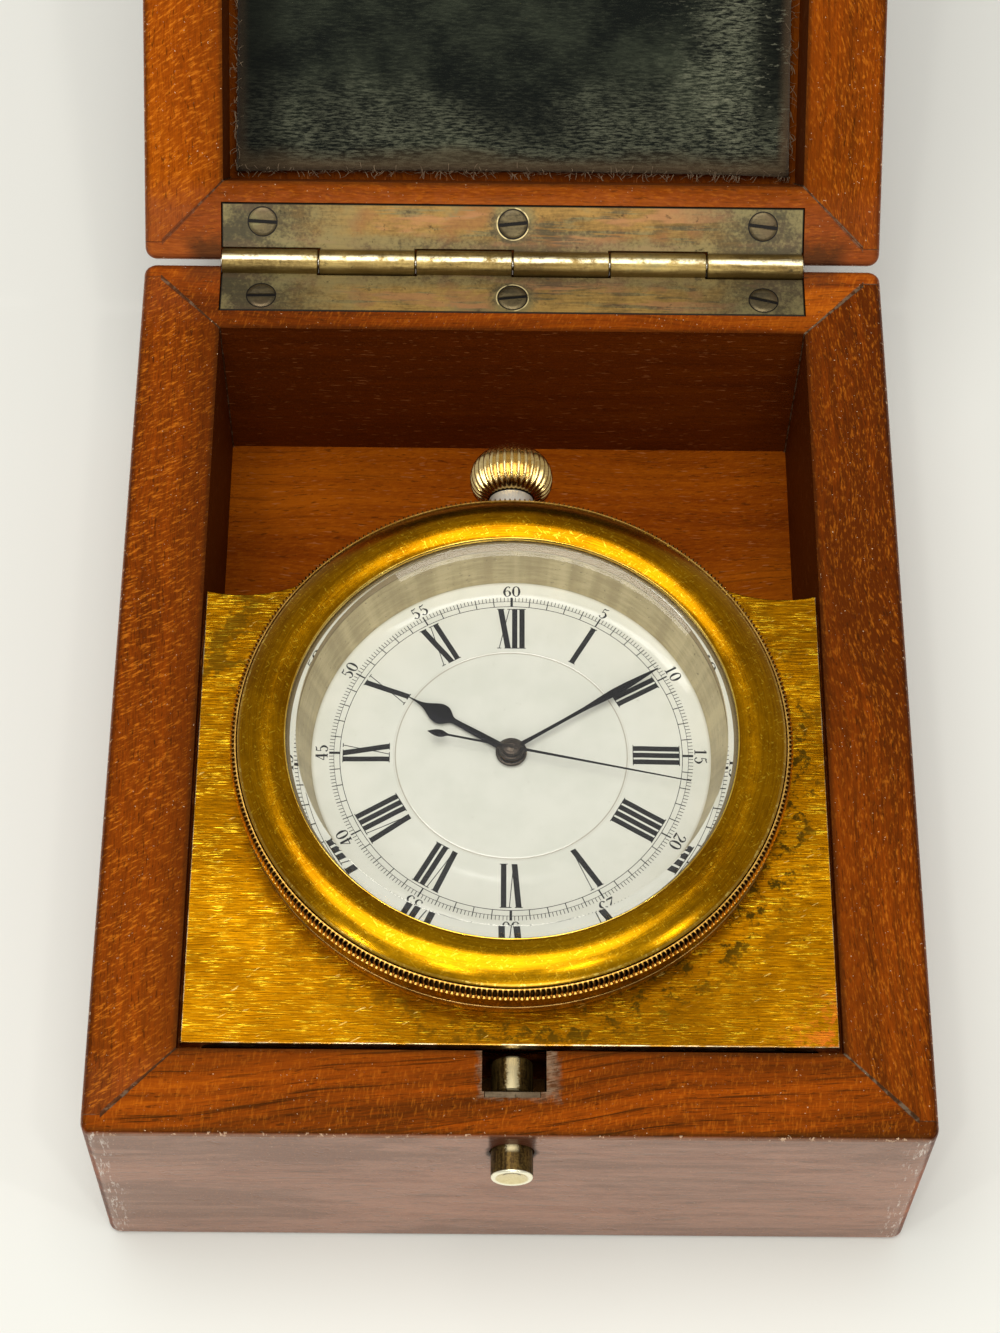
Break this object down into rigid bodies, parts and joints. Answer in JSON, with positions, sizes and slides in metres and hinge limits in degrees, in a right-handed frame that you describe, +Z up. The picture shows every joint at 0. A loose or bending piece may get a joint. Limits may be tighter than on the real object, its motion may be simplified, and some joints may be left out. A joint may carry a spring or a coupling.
{
  "type": "deck watch in hinged box",
  "caption": "Deck watch with milled bezel, enamel dial and hands on a brass plate in a mitred mahogany box with hinged velvet-lined lid and push-button catch.",
  "frame": {"origin": "centre of the flat underside of the box's base", "axes": "+Z up through the dial, +Y to the hinge side, +X to the right seen from the button side; the row is stored with the lid fully open"},
  "size_m": [0.108, 0.2518, 0.1272],
  "materials": {
    "wood": "french polished mahogany, worn",
    "dark_wood": "dark bare mahogany",
    "velvet": "worn green-black velvet",
    "old_brass": "tarnished dull brass",
    "brass": "brushed lacquered brass with tarnish spots",
    "gold": "satin gilt brass",
    "steel": "bright steel, aged",
    "blue_steel": "blued steel",
    "silver": "silvered, brushed, yellowed",
    "enamel": "glossy white enamel",
    "glass": "clear bevelled glass"
  },
  "bodies": {
    "box_base": {"base_front_wall": "wood", "base_back_wall": "wood", "base_left_wall": "wood", "base_right_wall": "wood", "base_bottom": "dark_wood", "ledge_left": "dark_wood", "ledge_right": "dark_wood", "base_hinge_leaf": "old_brass", "base_hinge_screw_left": "old_brass", "base_hinge_screw_middle": "old_brass", "base_hinge_screw_right": "old_brass", "catch_guide": "old_brass", "mounting_plate": "brass", "case_bowl": "brass", "case_back": "brass", "movement": "brass", "hinge_pin": "steel", "catch_spring": "steel", "pendant": "steel", "sight_ring": "silver", "dial": "enamel"},
    "lid": {"lid_front_wall": "wood", "lid_back_wall": "wood", "lid_left_wall": "wood", "lid_right_wall": "wood", "lid_top": "wood", "lid_lining": "velvet", "lid_hinge_leaf": "old_brass", "lid_hinge_screw_left": "old_brass", "lid_hinge_screw_middle": "old_brass", "lid_hinge_screw_right": "old_brass", "striker": "brass", "striker_screw_left": "old_brass", "striker_screw_right": "old_brass"},
    "button": {"push_button": "brass"},
    "glass": {"glass": "glass"},
    "bezel": {"bezel": "gold"},
    "stem": {"winding_stem": "steel"},
    "crown": {"crown": "gold"},
    "seconds": {"seconds_hand": "blue_steel"},
    "minute": {"minute_hand": "blue_steel", "cannon_pinion": "steel"},
    "hour": {"hour_hand": "blue_steel", "hour_wheel": "brass"},
    "minute_wheel": {"minute_wheel": "brass"}
  },
  "joints": [
    {"name": "lid_hinge", "type": "hinge", "parent": "box_base", "child": "lid", "pos_m": [0, 0.06775, 0.03815], "axis": [1, 0, 0], "range_deg": [0, 140]},
    {"name": "button_push", "type": "slide", "parent": "box_base", "child": "button", "axis": [0, 1, 0], "range_m": [0, 0.0016], "stiffness_N_per_m": 300, "springref_m": -0.004, "deforming": ["catch_spring"]},
    {"name": "bezel_rise", "type": "slide", "parent": "box_base", "child": "glass", "axis": [0, 0, 1], "range_m": [0, 0.0012]},
    {"name": "bezel_turn", "type": "hinge", "parent": "glass", "child": "bezel", "pos_m": [0, -0.0136, 0.0415], "axis": [0, 0, 1], "range_deg": [0, 720]},
    {"name": "crown_pull", "type": "slide", "parent": "box_base", "child": "stem", "axis": [0, 1, 0], "range_m": [0, 0.0012]},
    {"name": "crown_turn", "type": "hinge", "parent": "stem", "child": "crown", "pos_m": [0, 0.0355, 0.0305], "axis": [0, 1, 0], "continuous": true},
    {"name": "seconds_turn", "type": "hinge", "parent": "box_base", "child": "seconds", "pos_m": [0, -0.0136, 0.0395], "axis": [0, 0, -1], "continuous": true},
    {"name": "minute_turn", "type": "hinge", "parent": "box_base", "child": "minute", "pos_m": [0, -0.0136, 0.0388], "axis": [0, 0, -1], "continuous": true},
    {"name": "hour_turn", "type": "hinge", "parent": "box_base", "child": "hour", "pos_m": [0, -0.0136, 0.038], "axis": [0, 0, -1], "continuous": true},
    {"name": "minute_wheel_turn", "type": "hinge", "parent": "box_base", "child": "minute_wheel", "pos_m": [0.006, -0.0136, 0.0345], "axis": [0, 0, -1], "continuous": true}
  ],
  "couplings": [
    {"joint": "minute_turn", "follows": "seconds_turn", "ratio": 0.016667},
    {"joint": "hour_turn", "follows": "seconds_turn", "ratio": 0.0013889},
    {"joint": "minute_wheel_turn", "follows": "seconds_turn", "ratio": -0.0055556},
    {"joint": "bezel_rise", "follows": "bezel_turn", "m_per_rad": 0.000095493}
  ]
}
